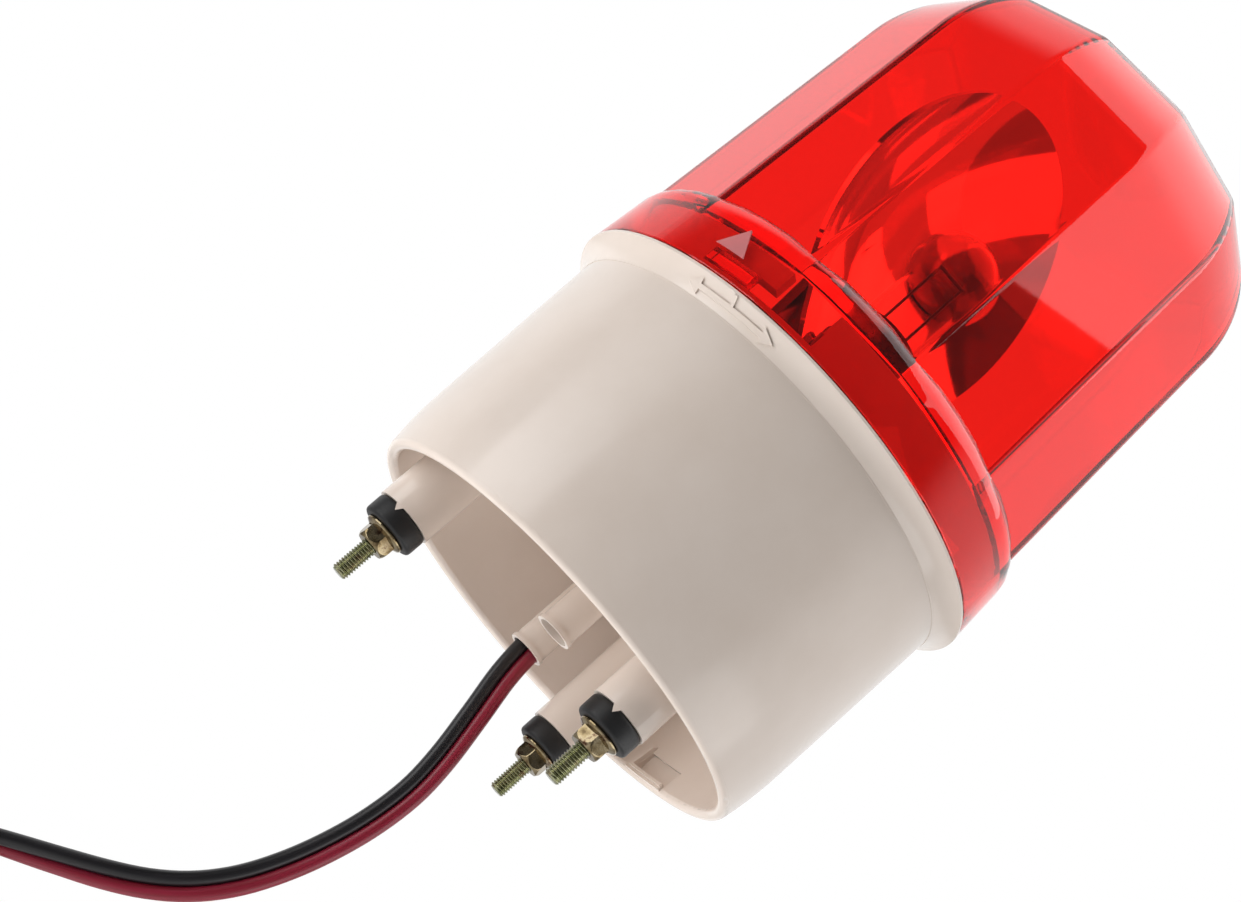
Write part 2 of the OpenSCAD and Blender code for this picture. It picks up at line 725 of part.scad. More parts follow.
module bulb_cap() {
  color("#c6a868") translate([0, 0, rim_z + cap_bottom_z]) {
    cylinder(r1 = bulb_tip_r, r2 = bulb_cap_r, h = 2);
    translate([0, 0, 2]) cylinder(r = bulb_cap_r, h = cap_top_z - cap_bottom_z - 2);
    translate([-socket_r + 0.3, 0, bulb_pin_z]) rotate([0, 90, 0]) cylinder(r = 1, h = 2 * socket_r - 0.6);
  }
}

// Half section of the bulb
module bulb_section(inset) {
  intersection() {
    union() {
      translate([0, bulb_z]) circle(r = bulb_r - inset);
      translate([0, cap_top_z]) square([bulb_cap_r - 0.8 - inset, bulb_z - cap_top_z]);
    }
    translate([0, cap_top_z]) square([2 * bulb_r, bulb_z + 2 * bulb_r - cap_top_z]);
  }
}

module bulb_glass() {
  color("#eef4f6", 0.35) translate([0, 0, rim_z]) rotate_extrude() difference() {
    bulb_section(0);
    bulb_section(bulb_wall);
  }
}

module bulb_filament() {
  color("#7a7d80") translate([0, 0, rim_z]) {
    for (s = [-1, 1]) translate([(filament_w / 2 - 0.3) * s, 0, cap_top_z])
      cylinder(r = 0.3, h = bulb_z - cap_top_z);
    translate([-filament_w / 2, 0, bulb_z]) rotate([0, 90, 0]) cylinder(r = 0.4, h = filament_w);
  }
}

// Angle between the pitch point and a point on an involute, from its pressure angle
function inv(a) = tan(a) * 180 / PI - a;
// Half angle of a tooth at a radius
function half_tooth(n, m, b, r) =
  let (p = m * n / 2, c = max(min(p * cos(20) / r, 1), -1))
  90 / n + inv(20) - inv(acos(c)) - b / p * 180 / PI;
// Points of one gear outline
function gear_points(n, m, b) = let (p = m * n / 2, root = p - 1.25 * m, tip = p + 0.9 * m,
  base = p * cos(20), low = max(root, base + 0.01), steps = 4)
  [for (k = [0:n - 1]) each let (a = 360 * k / n)
    concat([[root, a - half_tooth(n, m, b, low)]],
      [for (i = [0:steps]) let (r = low + (tip - low) * i / steps) [r, a - half_tooth(n, m, b, r)]],
      [for (i = [0:steps]) let (r = tip - (tip - low) * i / steps) [r, a + half_tooth(n, m, b, r)]],
      [[root, a + half_tooth(n, m, b, low)]])];
function polar(list) = [for (q = list) [q[0] * cos(q[1]), q[0] * sin(q[1])]];
// The same outline without points that coincide
function clean(list) = let (n = len(list))
  [for (i = [0:n - 1]) if (norm(list[i] - list[(i + 1) % n]) > 0.005) list[i]];

module turntable_gear() {
  color("#f1efe6") translate([0, 0, rim_z + gear_z]) difference() {
    union() {
      linear_extrude(gear_w) polygon(clean(polar(gear_points(gear_teeth, gear_m, gear_backlash))));
      cylinder(r = hub_r, h = hub_h);
    }
    translate([0, 0, -1]) cylinder(r = socket_r + hub_clear, h = 20, $fn = 120);
    rotate([0, 0, reflector_angle]) for (s = [-1, 1])
      translate([stem_x, stem_screw_y * s, -1]) cylinder(r = small_screw_r, h = gear_w + 2);
  }
}

// Half section of the dish about its own axis, focus at the origin
module dish_section() {
  n = 14;
  front = [for (i = [0:n]) let (h = dish_r * i / n) [h, h * h / (4 * dish_focal) - dish_focal]];
  back = [for (i = [n:-1:0]) let (h = dish_r * i / n) [h, h * h / (4 * dish_focal) - dish_focal - dish_wall]];
  polygon(concat(front, back));
}

module reflector() {
  foot_z = gear_z + gear_w;
  color("#dfe2e6") translate([0, 0, rim_z]) rotate([0, 0, reflector_angle]) difference() {
    union() {
      translate([0, 0, dish_z]) rotate([0, 90, 0]) rotate_extrude($fn = 120) dish_section();
      translate([stem_x - stem_t / 2, -stem_w / 2, foot_z]) cube([stem_t, stem_w, stem_top_z - foot_z]);
      translate([stem_x - stem_foot, -stem_w / 2, foot_z]) cube([2 * stem_foot, stem_w, 2]);
    }
    translate([0, 0, foot_z - 1]) cylinder(r = dish_notch_r, h = bulb_z - foot_z);
    translate([0, 0, foot_z - 1]) cylinder(r = hub_r + 0.4, h = hub_h - gear_w + 2);
    for (s = [-1, 1]) translate([stem_x, stem_screw_y * s, foot_z - 1]) cylinder(r = small_screw_r, h = 4);
  }
}

module reflector_screws() {
  color("#c9cccf") translate([0, 0, rim_z + gear_z]) rotate([0, 0, reflector_angle])
    for (s = [-1, 1]) translate([stem_x, stem_screw_y * s, 0]) cylinder(r = small_screw_r, h = gear_w + 2);
}

// Children on the motor's shaft, at a height
module at_motor(z) {
  rotate([0, 0, motor_angle]) translate([centre_dist, 0, z]) children();
}

module motor_can() {
  color("#b4b7ba") at_motor(rim_z) difference() {
    union() {
      translate([0, 0, plate_z - motor_len]) cylinder(r = motor_r, h = motor_len);
      translate([0, 0, plate_z]) cylinder(r = motor_neck_r, h = plate_t + 0.4);
    }
    translate([0, 0, plate_z - 12]) cylinder(r = shaft_r + shaft_clear, h = 20);
    for (s = [-1, 1]) translate([0, motor_screw_y * s, plate_z - 4]) cylinder(r = small_screw_r, h = 8);
  }
}

module motor_cap() {
  color("#2d2f33") at_motor(rim_z + plate_z - motor_len - motor_cap_t)
    cylinder(r = motor_r - 1, h = motor_cap_t);
}

module motor_screws() {
  color("#c9cccf") at_motor(rim_z + plate_top)
    for (s = [-1, 1]) translate([0, motor_screw_y * s, 0]) {
      translate([0, 0, -plate_t - 4]) cylinder(r = small_screw_r, h = plate_t + 4);
      cylinder(r = 2, h = 1.4);
    }
}

module drive_pinion() {
  color("#d9c58a") at_motor(rim_z) {
    translate([0, 0, gear_z]) rotate([0, 0, 180 / pinion_teeth])
      linear_extrude(gear_w) polygon(clean(polar(gear_points(pinion_teeth, gear_m, gear_backlash))));
    translate([0, 0, plate_z - 11]) cylinder(r = shaft_r, h = gear_z + gear_w + 0.6 - plate_z + 11);
  }
}

module connector_block() {
  color("#3a3d42") translate([tube_x, tube_y, rim_z + lead_top_z]) difference() {
    translate([-7, -4.5, 0]) cube([14, 9, block_h]);
    translate([0, 0, 4]) cylinder(r = block_screw_r, h = block_h);
  }
}

module block_screw() {
  color("#c9cccf") translate([tube_x, tube_y, rim_z + plate_top]) {
    translate([0, 0, -6]) cylinder(r = block_screw_r, h = 6);
    cylinder(r = 2.4, h = 1.5);
  }
}

// Outline of the flat lead
module lead_outline(extra) {
  hole_r = lead_t / 2 + extra;
  for (s = [-1, 1]) translate([s * (lead_w - lead_t) / 2, 0]) circle(r = hole_r);
  square([lead_w - lead_t, 2 * hole_r], center = true);
}

module lead_stopper() {
  color("#26262a") translate([tube_x, tube_y, rim_z + floor_z]) difference() {
    cylinder(r = 4.8, h = 4);
    translate([0, 0, -1]) linear_extrude(6) lead_outline(0.05);
  }
}

// Heading of the lead's route at a point
function heading(i) = let (a = lead_route[max(i - 1, 0)], b = lead_route[min(i + 1, len(lead_route) - 1)])
  atan2(b[1] - a[1], b[0] - a[0]);
// One ring of points round the lead
function lead_ring(i) = let (p = lead_route[i], h = heading(i), s = sin(p[2]), c = cos(p[2]))
  [for (k = [0:lead_sides - 1]) let (a = 360 * (k + 0.5) / lead_sides,
      u = (lead_w - lead_t) / 2 * sign(cos(a)) + lead_t / 2 * cos(a), v = lead_t / 2 * sin(a),
      x = u * c - v * s, y = u * s + v * c)
    [p[0] - x * sin(h), tube_y + y, p[1] + x * cos(h)]];

module lead() {
  n = len(lead_route);
  points = [for (i = [0:n - 1]) each lead_ring(i)];
  sides = [for (i = [0:n - 2], k = [0:lead_sides - 1]) let (a = i * lead_sides, j = (k + 1) % lead_sides)
    each [[a + k, a + j, a + lead_sides + j], [a + k, a + lead_sides + j, a + lead_sides + k]]];
  color("#7c1f2b") translate([0, 0, rim_z])
    polyhedron(points, concat(sides, [[for (k = [lead_sides - 1:-1:0]) k],
      [for (k = [0:lead_sides - 1]) (n - 1) * lead_sides + k]]), convexity = 4);
}

// The coil's ring, about its own axis
module coil_ring() {
  rotate_extrude() translate([coil_r - lead_t / 2, -coil_turns * lead_w / 2])
    square([lead_t, coil_turns * lead_w]);
}

module lead_coil() {
  color("#7c1f2b") translate([coil_x, coil_y, rim_z + coil_z]) rotate([90, 0, 0]) coil_ring();
}

module coil_tie() {
  color("#232326") translate([coil_x, coil_y, rim_z + coil_z]) rotate([90, 0, 0]) difference() {
    rotate([0, 0, tie_angle]) translate([coil_r, 0, 0])
      cube([lead_t + 2 * tie_t, tie_w, coil_turns * lead_w + 2 * tie_t], center = true);
    coil_ring();
  }
}

base_housing();
lens();
lens_gasket();
mounting_studs();
stud_washers();
grommets();
flange_nuts();
chassis_plate();
chassis_screws();
lamp_socket();
thrust_washer();
retaining_ring();
socket_contact();
bulb_cap();
bulb_glass();
bulb_filament();
turntable_gear();
reflector();
reflector_screws();
motor_can();
motor_cap();
motor_screws();
drive_pinion();
connector_block();
block_screw();
lead_stopper();
lead();
lead_coil();
coil_tie();
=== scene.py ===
"""Looks of the rotating warning light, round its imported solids.

Sizes are in millimetres until a mesh is made, which is in metres."""
import math

import bpy
import numpy as np
from mathutils import Matrix


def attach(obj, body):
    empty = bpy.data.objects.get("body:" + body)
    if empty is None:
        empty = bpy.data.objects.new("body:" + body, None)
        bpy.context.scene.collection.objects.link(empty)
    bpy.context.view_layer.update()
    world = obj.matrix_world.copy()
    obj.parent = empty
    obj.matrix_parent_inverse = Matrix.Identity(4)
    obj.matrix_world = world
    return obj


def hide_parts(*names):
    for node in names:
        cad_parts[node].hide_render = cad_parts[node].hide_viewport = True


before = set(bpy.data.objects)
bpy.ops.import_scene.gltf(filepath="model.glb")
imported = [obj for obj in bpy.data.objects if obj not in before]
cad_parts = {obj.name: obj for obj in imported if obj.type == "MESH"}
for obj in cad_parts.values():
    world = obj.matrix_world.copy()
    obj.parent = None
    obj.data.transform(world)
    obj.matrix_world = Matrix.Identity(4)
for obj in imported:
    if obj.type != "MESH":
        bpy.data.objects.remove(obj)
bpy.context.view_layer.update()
MM = 0.001
TURN = 2 * math.pi

# Sizes repeated from the part's source, with heights from the nuts' outer faces
RIM_Z = 14.3
STUD_CIRCLE_R, STUD_ANGLES = 33.25, (60, 180, 300)
STUD_D, STUD_FREE, STUD_SHANK_D = 3.5, 7.4, 4.0
STUD_HEAD_D, STUD_HEAD_H, STUD_HEAD_Z = 6.8, 2.4, 41.5
NUT_H, NUT_AF, FLANGE_D, FLANGE_T = 3.9, 6.0, 8.6, 1.0
GROMMET_D, GROMMET_H, GROMMET_NECK_D, GROMMET_NECK_H = 11.4, 4.2, 8.0, 5.0

# More of them, with heights from the base's rim
COLLAR_R, COLLAR_TOP_R, COLLAR_BORE_R, COLLAR_Z, COLLAR_ROUND = 49.9, 49.2, 47.3, 65.8, 4.9
LENS_FOOT_Z, LENS_WALL, LENS_BEND = 54.7, 2.2, 3.2
DOME_R, DOME_DRAFT = 48.5, math.radians(2.3)
DOME_BEND_Z, DOME_BEND_R, DOME_TOP_Z = 124.0, 31.0, 144.0
FACET_ANGLE, FACETS = 5.1, 12
LUGS, LUG_ANGLE, LUG_WIDTH, LUG_Z, LUG_H, LUG_R = 3, 233.5, 12.0, 57.0, 2.6, 45.2
MARK_ANGLE, MARK_W, MARK_H, MARK_Z, MARK_RAISE = 231.5, 7.0, 5.4, 59.8, 0.3
DISH_FACING, DISH_FOCAL, DISH_R, DISH_Z = 315.0, 19.7, 33.5, 106.0
DISH_WALL, DISH_NOTCH_R = 1.2, 10.6
STEM_X, STEM_W, STEM_T = -17.0, 16.0, 2.4
STEM_FOOT, STEM_FOOT_Z, STEM_FOOT_H = 3.0, 57.8, 2.0
STEM_BEHIND = 0.4  # from the stem's front to the mirror at the stem's top
STEM_TOP_Z = DISH_Z - math.sqrt(4 * DISH_FOCAL * (DISH_FOCAL + STEM_X + STEM_T / 2 + STEM_BEHIND))
LEAD_W, LEAD_T, LEAD_Y = 5.8, 3.0, 31.0
COIL_X, COIL_Z, COIL_R = -46.83, -137.08, 30.0
# The lead's route as sideways place, height and twist in degrees
LEAD_ROUTE = np.array([
    (0.5, 38, 0), (0.5, 30, 0), (0.5, 22, 0), (0.5, 14, 0), (0.5, 7, 0), (0.6, 1, 0), (1.4, -6, 0),
    (3.4, -15, 0), (5.4, -25, 0), (6.2, -34, 0), (5.3, -44, 0), (3, -54, 0), (0, -62.5, 0),
    (-3.5, -69.5, 0), (-8, -75.7, 5), (-13.5, -81, 12), (-20, -85.7, 22), (-27.5, -90.3, 35),
    (-35.5, -95, 50), (-44, -100, 66), (-53, -105.5, 80), (-62.5, -111.5, 90)], float)
FREE_FROM = 2  # the route's point, inside the tube, where the free lead begins

# Sizes of the looks alone
COIL_TURN, COIL_POINTS = 700, 120  # degrees that the coil winds, and points along them
ASIDE_FROM, ASIDE_OVER = 306, 50  # degrees after which the coil steps aside, and over which
LEAD_STEP = 2.0  # between points along the lead
STREAKS_ROUND, STREAK_L = 24, 50 / 3  # draw streaks round a core, and their length
LENS_EDGE = 0.35  # bends at the lens's foot
LENS_STEP = 0.6  # the collar's bore ends this far below the collar's top
LUG_SINK = 0.3  # the lugs run into the collar
MARK_GAP = 0.02  # the mark's inner face stays off the collar
THREAD_PITCH, THREAD_DEPTH = 0.6, 0.34
THREAD_FLANK, THREAD_CREST = 1.3, 0.15  # slope of the clipped wave, and the share of it cut off as crest
STUD_TIP, STUD_TIP_SLOPE = 0.42, 0.9  # the free end is smaller by this radius and opens at this slope
NUT_TURNS = (12, 40, 25)  # degrees
NUT_CHAMFER_H, NUT_CHAMFER_IN, NUT_CHAMFER_SLOPE = 0.8, 0.15, 0.62
NUT_BORE_R, NUT_MOUTH_R, NUT_MOUTH_H = STUD_D / 2 - 0.35, STUD_D / 2 + 0.15, 0.35
NUT_INNER_R = 0.5  # the bore's far end, hidden in the stud
FLANGE_LEDGE, FLANGE_DROP, FLANGE_RISE, FLANGE_EDGE = 0.25, 0.15, 0.35, 0.3
GROMMET_EDGE = 0.8

# The camera at the photograph's angle: below the lamp's foot, rolled so that the lamp leans to the right
CAMERA_PLACE = (-21.358, -446.188, RIM_Z - 89.999)
CAMERA_AZIMUTH, CAMERA_RISE, CAMERA_ROLL = 0.594, 15.34, 49.012  # degrees
CAMERA_LENS, CAMERA_SENSOR = 73.162, 36.0

# Lamps as degrees round the axis, degrees above the level, metres away, metres across and watts
LAMPS = {
    "key_softbox": (335, 68, 1.0, 1.5, 14.0),
    "left_softbox": (203, -7, 0.9, 0.62, 2.6),
    "left_fill": (190, -14, 0.9, 1.1, 5.6),
    "right_softbox": (345, -13, 0.9, 0.7, 2.1),
    "low_fill": (90, -82, 0.8, 1.2, 8.0),
}
LAMP_AIM_Z = 70.0

# The room round the object: where it is dark, over which dot products that fades in, how dark it is in
# any reflection, and how much darker straight off a mirror
ROOM_TOWARDS, ROOM_FADE = (-0.374, -0.88, -0.29), (-0.2, 0.15)
ROOM_DARK, ROOM_DARKER = 0.52, 0.36
EVEN_LIGHT = 0.11  # from all sides, on dull surfaces
FLOOR_HALF, FLOOR_Z = 6000.0, -900.0
FLOOR_WHITE, FLOOR_WHITE_SHOWN = 0.7, 0.3  # to the camera, and in metal and glass


# Meshes

def grid_faces(rows, cols, wrap=True):
    """Quads of a grid of rows by cols points, counted row by row; wrap joins the last column to the first."""
    r, c = np.meshgrid(np.arange(rows - 1), np.arange(cols if wrap else cols - 1), indexing="ij")
    here, beside = r * cols + c, r * cols + (c + 1) % cols
    return np.stack([here, beside, beside + cols, here + cols], -1).reshape(-1, 4)


def capped_faces(rows, cols):
    """Quads of a wrapped grid whose first row and last row are one point each."""
    quads, last = grid_faces(rows, cols), cols * (rows - 1)
    return np.where(quads < cols, 0, np.where(quads >= last, last, quads))


def ring_faces(rows, cols):
    """Quads of a wrapped grid whose last row also joins the first."""
    return grid_faces(rows + 1, cols) % (rows * cols)


def piece(name, shells, look, body, crease=30, replaced=()):
    """One object from shells of (points in mm, quads); a quad with a repeated corner becomes a triangle.
    crease is the angle in degrees past which an edge stays sharp."""
    starts = np.cumsum([0] + [points.size // 3 for points, _ in shells])
    points = np.concatenate([points.reshape(-1, 3) for points, _ in shells]) * MM
    quads = np.concatenate([quads + start for (_, quads), start in zip(shells, starts)])
    mesh = bpy.data.meshes.new(name)
    mesh.from_pydata(points.tolist(), [], [list(dict.fromkeys(quad)) for quad in quads.tolist()])
    mesh.validate()
    mesh.polygons.foreach_set("use_smooth", np.ones(len(mesh.polygons), bool))
    mesh.set_sharp_from_angle(angle=math.radians(crease))
    mesh.materials.append(look)
    made = bpy.data.objects.new(name, mesh)
    bpy.context.scene.collection.objects.link(made)
    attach(made, body)
    if replaced:
        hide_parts(*replaced)
    return made


def around(axis, r, z, sides):
    """Rows of points round an upright axis: radius r times (cos, sin) of even angles, at height z."""
    a = np.arange(sides) / sides * TURN
    return np.stack(np.broadcast_arrays(axis[0] + r * np.cos(a), axis[1] + r * np.sin(a), z), -1)


def turned(points, degrees):
    """Points turned about the upright axis: x goes to (cos, sin) of the angle and y to (-sin, cos)."""
    c, s = math.cos(math.radians(degrees)), math.sin(math.radians(degrees))
    return points @ np.array([[c, s, 0], [-s, c, 0], [0, 0, 1]])


def rounded(points, radius, steps=5):
    """A polyline whose inner corners are quadratic bends, from radius before a corner to radius past it."""
    points = np.asarray(points, float)
    out = [points[:1]]
    t = np.linspace(0, 1, steps)[:, None]
    for before, corner, after in zip(points[:-2], points[1:-1], points[2:]):
        back, on = before - corner, after - corner
        near = corner + back * min(radius / np.hypot(*back), 0.5)
        far = corner + on * min(radius / np.hypot(*on), 0.5)
        out.append((1 - t) ** 2 * near + 2 * t * (1 - t) * corner + t ** 2 * far)
    return np.concatenate(out + [points[-1:]])


# Finishes

def linear(text):
    """An sRGB hex colour as linear RGBA: v/12.92 up to 0.04045, else ((v + 0.055)/1.055)^2.4."""
    v = np.array([int(text[i:i + 2], 16) / 255 for i in (1, 3, 5)])
    return (*np.where(v <= 0.04045, v / 12.92, ((v + 0.055) / 1.055) ** 2.4), 1.0)


def add(tree, kind, inputs=(), **settings):
    """Adds one node: settings go on the node, and each input takes a value or another node's output."""
    made = tree.nodes.new("ShaderNode" + kind)
    for name, value in settings.items():
        setattr(made, name, value)
    for name, value in dict(inputs).items():
        if isinstance(value, bpy.types.NodeSocket):
            tree.links.new(value, made.inputs[name])
        else:
            made.inputs[name].default_value = value
    return made


def finish(name, values):
    """A material with one Principled shader set to values; returns it with its tree and its shader."""
    made = bpy.data.materials.new(name)
    made.use_nodes = True
    tree = made.node_tree
    tree.nodes.clear()
    shader = add(tree, "BsdfPrincipled", values)
    add(tree, "OutputMaterial", {"Surface": shader.outputs[0]})
    return made, tree, shader


def mottle(name, values, colours, patch, rough, grain, height):
    """A finish whose colour wanders between colours over patches of patch mm, with roughness from rough[0]
    to rough[1] and a bump of grain mm across and height mm deep. Noise seldom leaves its middle part, so
    colours and roughness are spread over that."""
    made, tree, shader = finish(name, values)
    place = add(tree, "TexCoord").outputs["Object"]
    wide = add(tree, "TexNoise", {"Vector": place, "Scale": 1 / (patch * MM), "Detail": 4.0,
                                  "Roughness": 0.6})
    ramp = add(tree, "ValToRGB", {"Fac": wide.outputs["Fac"]})
    stops = ramp.color_ramp.elements
    for i, (at, colour) in enumerate(zip(np.linspace(0.32, 0.68, len(colours)), colours)):
        stop = stops[i] if i < 2 else stops.new(at)
        stop.position, stop.color = at, linear(colour)
    fine = add(tree, "TexNoise", {"Vector": place, "Scale": 1 / (grain * MM), "Detail": 3.0})
    spread = add(tree, "MapRange", {"Value": fine.outputs["Fac"], "From Min": 0.3, "From Max": 0.7,
                                    "To Min": rough[0], "To Max": rough[1]})
    bump = add(tree, "Bump", {"Height": fine.outputs["Fac"], "Distance": height * MM, "Strength": 1.0})
    tree.links.new(ramp.outputs["Color"], shader.inputs["Base Color"])
    tree.links.new(spread.outputs["Result"], shader.inputs["Roughness"])
    tree.links.new(bump.outputs["Normal"], shader.inputs["Normal"])
    return made


# Ivory ABS from a smooth mould: semi-gloss, so it shows soft bands of the lamps. Its fine grain is drawn
# 0.5 mm wide to show
IVORY = mottle("ABS, moulded, ivory", {"IOR": 1.53}, ("#DBCDC2", "#E0D3C9"), 22, (0.15, 0.2), 0.5, 0.002)
# Black EPDM rubber, moulded: dull and dark, with a faint bloom of wax
RUBBER = mottle("EPDM rubber, moulded", {"IOR": 1.5}, ("#0C0C0E", "#151517"), 3, (0.4, 0.55), 0.3, 0.01)
# Steel, zinc plated and dipped in yellow chromate: straw and olive, with brown stains that drift over
# a few millimetres
YELLOW_ZINC = mottle("Steel, rolled thread, yellow-chromated zinc", {"Metallic": 1.0},
                     ("#6E7252", "#989A78", "#ADAD8E", "#7A664E"), 2.2, (0.1, 0.2), 0.15, 0.002)
# The same on the cold-formed nuts, which took more of the rose and brown
ROSE_ZINC = mottle("Steel, cold formed, yellow-chromated zinc", {"Metallic": 1.0},
                   ("#5F5039", "#8F7F60", "#A09276", "#503526"), 2.2, (0.08, 0.16), 0.15, 0.002)
# Steel, bright zinc plated: grey-white with a faint spangle
ZINC = mottle("Steel, bright zinc plate", {"Metallic": 1.0}, ("#A9ADB1", "#C6C9CC"),
              4, (0.25, 0.4), 0.3, 0.003)
# ABS, vacuum-metallised: a mirror with a slight orange peel
MIRROR = mottle("ABS, vacuum-metallised", {"Metallic": 1.0}, ("#DDE0E3", "#E6E8EA"),
                20, (0.04, 0.09), 4, 0.004)
# Brass, drawn and nickel plated: warm grey, painted far darker than its plating as painted shade in the lens
NICKEL_PAINTED_DARK = mottle("Brass, drawn and nickel plated", {"Metallic": 1.0}, ("#6A6356", "#857D6C"),
                5, (0.25, 0.38), 0.4, 0.002)
# Brass, hobbed: yellow with tool marks
BRASS = mottle("Brass, hobbed", {"Metallic": 1.0}, ("#BD9A52", "#D0AF66"), 2, (0.22, 0.36), 0.3, 0.003)
# Acetal, moulded: milky white and waxy
ACETAL = mottle("Acetal, moulded", {"IOR": 1.48}, ("#E6E3D9", "#EFECE3"), 8, (0.35, 0.45), 0.5, 0.002)
# Phenolic board, punched: brown with paper fibres
PHENOLIC = mottle("Phenolic board, punched", {"IOR": 1.6}, ("#6B4227", "#84552F"),
                  1.2, (0.4, 0.55), 0.3, 0.006)
# Nylon, moulded black: dull, with a fine grain
NYLON = mottle("Nylon, moulded black", {"IOR": 1.53}, ("#202124", "#2A2B2E"), 4, (0.35, 0.5), 0.4, 0.004)
# Tungsten wire, drawn: dark grey with a soft shine
TUNGSTEN = mottle("Tungsten, drawn wire", {"Metallic": 1.0}, ("#6F7073", "#858689"),
                  1, (0.3, 0.45), 0.1, 0.002)
# Soda-lime glass, blown: clear
GLASS = finish("Soda-lime glass, blown", {
    "Base Color": linear("#F4F8F8"), "Roughness": 0.01, "IOR": 1.52, "Transmission Weight": 1.0})[0]


def red_acrylic(name):
    """Red acrylic, injection moulded: clear, and deep red along its edges, because the dye takes out green
    and blue with the light's way through it."""
    made, tree, _ = finish(name, {"Base Color": linear("#FFA295"), "Roughness": 0.02, "IOR": 1.49,
                                  "Transmission Weight": 1.0})
    dye = add(tree, "VolumeAbsorption", {"Color": linear("#FEB8B0"), "Density": 1045.0})
    tree.links.new(dye.outputs[0], tree.nodes["Material Output"].inputs["Volume"])
    return made


def lead_pvc(name, colours):
    """PVC, extruded round stranded wire: semi-gloss, with faint draw streaks along the lead, which follow
    the piece's own UV map."""
    made, tree, shader = finish(name, {"IOR": 1.53})
    uv = add(tree, "UVMap", uv_map="along").outputs["UV"]
    stretched = add(tree, "Mapping", {"Vector": uv, "Scale": (STREAKS_ROUND, 1 / (STREAK_L * MM), 1.0)})
    streak = add(tree, "TexNoise", {"Vector": stretched.outputs["Vector"], "Scale": 1.0, "Detail": 3.0})
    ramp = add(tree, "ValToRGB", {"Fac": streak.outputs["Fac"]})
    for stop, at, colour in zip(ramp.color_ramp.elements, (0.3, 0.7), colours):
        stop.position, stop.color = at, linear(colour)
    spread = add(tree, "MapRange", {"Value": streak.outputs["Fac"], "To Min": 0.26, "To Max": 0.42})
    bump = add(tree, "Bump", {"Height": streak.outputs["Fac"], "Distance": 0.008 * MM, "Strength": 1.0})
    tree.links.new(ramp.outputs["Color"], shader.inputs["Base Color"])
    tree.links.new(spread.outputs["Result"], shader.inputs["Roughness"])
    tree.links.new(bump.outputs["Normal"], shader.inputs["Normal"])
    return made


RED_LENS = red_acrylic("Acrylic, injection moulded, red")
# The same acrylic where the mould is etched: a frosted face that scatters light, so it looks paler
RED_ETCHED = finish("Acrylic, etched mould, red", {
    "Base Color": linear("#E58E90"), "Roughness": 0.5, "IOR": 1.49, "Transmission Weight": 0.45})[0]
PVC_BLACK = lead_pvc("PVC, extruded, black", ("#121114", "#1E1C20"))
PVC_CRIMSON = lead_pvc("PVC, extruded, crimson", ("#7E1526", "#96203A"))

SOLID_LOOKS = (
    (IVORY, ("base_housing",)),
    (RUBBER, ("lens_gasket", "lead_stopper")),
    (YELLOW_ZINC, ("stud_washers",)),
    (ZINC, ("chassis_plate", "chassis_screws", "retaining_ring", "reflector_screws", "motor_can",
            "motor_screws", "block_screw")),
    (ACETAL, ("thrust_washer", "turntable_gear")),
    (PHENOLIC, ("socket_contact",)),
    # The bulb's cap and socket take the nickel painted dark, as painted shade inside the lens
    (NICKEL_PAINTED_DARK, ("bulb_cap", "lamp_socket")),
    (GLASS, ("bulb_glass",)),
    (TUNGSTEN, ("bulb_filament",)),
    (NYLON, ("motor_cap", "connector_block", "coil_tie")),
    (BRASS, ("drive_pinion",)),
)
for look, nodes in SOLID_LOOKS:
    for node in nodes:
        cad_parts[node].data.materials.clear()
        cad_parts[node].data.materials.append(look)


# Camera

def photo_camera():
    """A camera that looks along +Y, turned right by its azimuth, up by its rise and then rolled."""
    data = bpy.data.cameras.new("photo_camera")
    data.lens, data.sensor_width = CAMERA_LENS, CAMERA_SENSOR
    data.clip_start, data.clip_end = 0.01, 50.0
    camera = bpy.data.objects.new("photo_camera", data)
    bpy.context.scene.collection.objects.link(camera)
    camera.matrix_world = (Matrix.Translation([MM * v for v in CAMERA_PLACE])
                           @ Matrix.Rotation(math.radians(-CAMERA_AZIMUTH), 4, "Z")
                           @ Matrix.Rotation(math.radians(90 + CAMERA_RISE), 4, "X")
                           @ Matrix.Rotation(math.radians(CAMERA_ROLL), 4, "Z"))
    bpy.context.scene.camera = camera


photo_camera()


# Twin lead

def lead_line():
    """The lead's centre points and twists: the route, then one turn of the coil, a smooth step aside by the
    lead's width, and most of a second turn."""
    start = np.arctan2(LEAD_ROUTE[-1, 1] - COIL_Z, LEAD_ROUTE[-1, 0] - COIL_X)
    a = start + np.radians(np.linspace(0, COIL_TURN, COIL_POINTS))[1:]
    aside = np.clip((np.degrees(a - a[0]) - ASIDE_FROM) / ASIDE_OVER, 0, 1)
    coil = np.stack([COIL_X + COIL_R * np.cos(a), LEAD_Y + LEAD_W * aside ** 2 * (3 - 2 * aside),
                     COIL_Z + COIL_R * np.sin(a)], -1)
    route = np.stack([LEAD_ROUTE[:, 0], np.full(len(LEAD_ROUTE), LEAD_Y), LEAD_ROUTE[:, 1]], -1)
    points = np.concatenate([route, coil]) + (0, 0, RIM_Z)
    return points, np.concatenate([LEAD_ROUTE[:, 2], np.full(len(coil), LEAD_ROUTE[-1, 2])])


